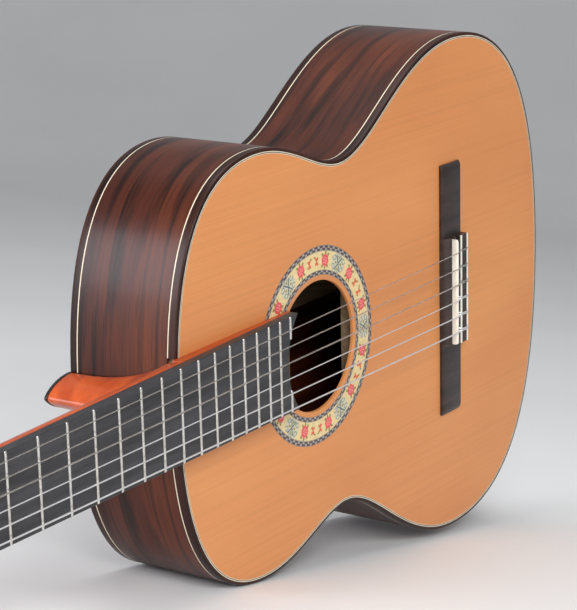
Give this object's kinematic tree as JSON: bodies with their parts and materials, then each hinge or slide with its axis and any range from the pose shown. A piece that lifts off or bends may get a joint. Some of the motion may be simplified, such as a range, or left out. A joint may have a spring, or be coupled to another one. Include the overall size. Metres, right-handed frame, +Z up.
{
  "type": "classical guitar",
  "caption": "Six-string nylon-string guitar with a slotted head and geared tuning machines, resting on its bass side.",
  "frame": {"origin": "centre of the bounding box at floor level, under the guitar as it rests on its bass side", "axes": "+X towards the tail along the floor, +Y from the soundboard to the back, +Z up, from the bass side to the treble side"},
  "size_m": [0.974, 0.1274, 0.384],
  "materials": {
    "cedar_top": "satin",
    "spruce_inside": "matte",
    "rosewood": "gloss",
    "mahogany": "gloss",
    "ebony": "satin",
    "wood_mosaic": "satin",
    "bone": "satin",
    "nickel_silver": "polished",
    "brass": "polished",
    "clear_nylon": "gloss",
    "silver_winding": "satin",
    "pearl_plastic": "gloss"
  },
  "bodies": {
    "guitar": {"back_binding": "ebony", "back_bracing": "spruce_inside", "back_lining": "spruce_inside", "back_plate_bass": "rosewood", "back_plate_treble": "rosewood", "bridge": "ebony", "fingerboard": "ebony", "fret_01": "nickel_silver", "fret_02": "nickel_silver", "fret_03": "nickel_silver", "fret_04": "nickel_silver", "fret_05": "nickel_silver", "fret_06": "nickel_silver", "fret_07": "nickel_silver", "fret_08": "nickel_silver", "fret_09": "nickel_silver", "fret_10": "nickel_silver", "fret_11": "nickel_silver", "fret_12": "nickel_silver", "fret_13": "nickel_silver", "fret_14": "nickel_silver", "fret_15": "nickel_silver", "fret_16": "nickel_silver", "fret_17": "nickel_silver", "fret_18": "nickel_silver", "fret_19_bass": "nickel_silver", "fret_19_treble": "nickel_silver", "headstock": "mahogany", "heel_cap": "ebony", "neck": "mahogany", "nut": "bone", "rosette": "wood_mosaic", "saddle": "bone", "side_bass": "rosewood", "side_treble": "rosewood", "soundboard": "cedar_top", "soundboard_bracing": "spruce_inside", "string_1": "clear_nylon", "string_2": "clear_nylon", "string_3": "clear_nylon", "string_4": "silver_winding", "string_5": "silver_winding", "string_6": "silver_winding", "tail_block": "mahogany", "top_binding": "ebony", "top_lining": "spruce_inside", "tuner_plate_bass": "brass", "tuner_plate_treble": "brass"},
    "tuner_1": {"tuner_button_1": "pearl_plastic"},
    "roller_1": {"string_roller_1": "brass"},
    "tuner_2": {"tuner_button_2": "pearl_plastic"},
    "roller_2": {"string_roller_2": "brass"},
    "tuner_3": {"tuner_button_3": "pearl_plastic"},
    "roller_3": {"string_roller_3": "brass"},
    "tuner_4": {"tuner_button_4": "pearl_plastic"},
    "roller_4": {"string_roller_4": "brass"},
    "tuner_5": {"tuner_button_5": "pearl_plastic"},
    "roller_5": {"string_roller_5": "brass"},
    "tuner_6": {"tuner_button_6": "pearl_plastic"},
    "roller_6": {"string_roller_6": "brass"}
  },
  "joints": [
    {"name": "tuner_1_turn", "type": "hinge", "parent": "guitar", "child": "tuner_1", "pos_m": [-0.3723, -0.0362, 0.09819], "axis": [-0.1901, -0.9811, -0.0364], "continuous": true},
    {"name": "roller_1_turn", "type": "hinge", "parent": "guitar", "child": "roller_1", "pos_m": [-0.35692, -0.03773, 0.05908], "axis": [-0.1881, 0, 0.9821], "continuous": true},
    {"name": "tuner_2_turn", "type": "hinge", "parent": "guitar", "child": "tuner_2", "pos_m": [-0.40603, -0.02942, 0.09173], "axis": [-0.1901, -0.9811, -0.0364], "continuous": true},
    {"name": "roller_2_turn", "type": "hinge", "parent": "guitar", "child": "roller_2", "pos_m": [-0.39065, -0.03095, 0.05262], "axis": [-0.1881, 0, 0.9821], "continuous": true},
    {"name": "tuner_3_turn", "type": "hinge", "parent": "guitar", "child": "tuner_3", "pos_m": [-0.43975, -0.02265, 0.08527], "axis": [-0.1901, -0.9811, -0.0364], "continuous": true},
    {"name": "roller_3_turn", "type": "hinge", "parent": "guitar", "child": "roller_3", "pos_m": [-0.42437, -0.02418, 0.04616], "axis": [-0.1881, 0, 0.9821], "continuous": true},
    {"name": "tuner_4_turn", "type": "hinge", "parent": "guitar", "child": "tuner_4", "pos_m": [-0.42421, -0.02265, 0.00414], "axis": [-0.1901, -0.9811, -0.0364], "continuous": true},
    {"name": "roller_4_turn", "type": "hinge", "parent": "guitar", "child": "roller_4", "pos_m": [-0.42437, -0.02418, 0.04616], "axis": [-0.1881, 0, 0.9821], "continuous": true},
    {"name": "tuner_5_turn", "type": "hinge", "parent": "guitar", "child": "tuner_5", "pos_m": [-0.39049, -0.02942, 0.0106], "axis": [-0.1901, -0.9811, -0.0364], "continuous": true},
    {"name": "roller_5_turn", "type": "hinge", "parent": "guitar", "child": "roller_5", "pos_m": [-0.39065, -0.03095, 0.05262], "axis": [-0.1881, 0, 0.9821], "continuous": true},
    {"name": "tuner_6_turn", "type": "hinge", "parent": "guitar", "child": "tuner_6", "pos_m": [-0.35676, -0.0362, 0.01706], "axis": [-0.1901, -0.9811, -0.0364], "continuous": true},
    {"name": "roller_6_turn", "type": "hinge", "parent": "guitar", "child": "roller_6", "pos_m": [-0.35692, -0.03773, 0.05908], "axis": [-0.1881, 0, 0.9821], "continuous": true}
  ],
  "couplings": [
    {"joint": "roller_1_turn", "follows": "tuner_1_turn", "ratio": -0.071429},
    {"joint": "roller_2_turn", "follows": "tuner_2_turn", "ratio": -0.071429},
    {"joint": "roller_3_turn", "follows": "tuner_3_turn", "ratio": -0.071429},
    {"joint": "roller_4_turn", "follows": "tuner_4_turn", "ratio": -0.071429},
    {"joint": "roller_5_turn", "follows": "tuner_5_turn", "ratio": -0.071429},
    {"joint": "roller_6_turn", "follows": "tuner_6_turn", "ratio": -0.071429}
  ]
}
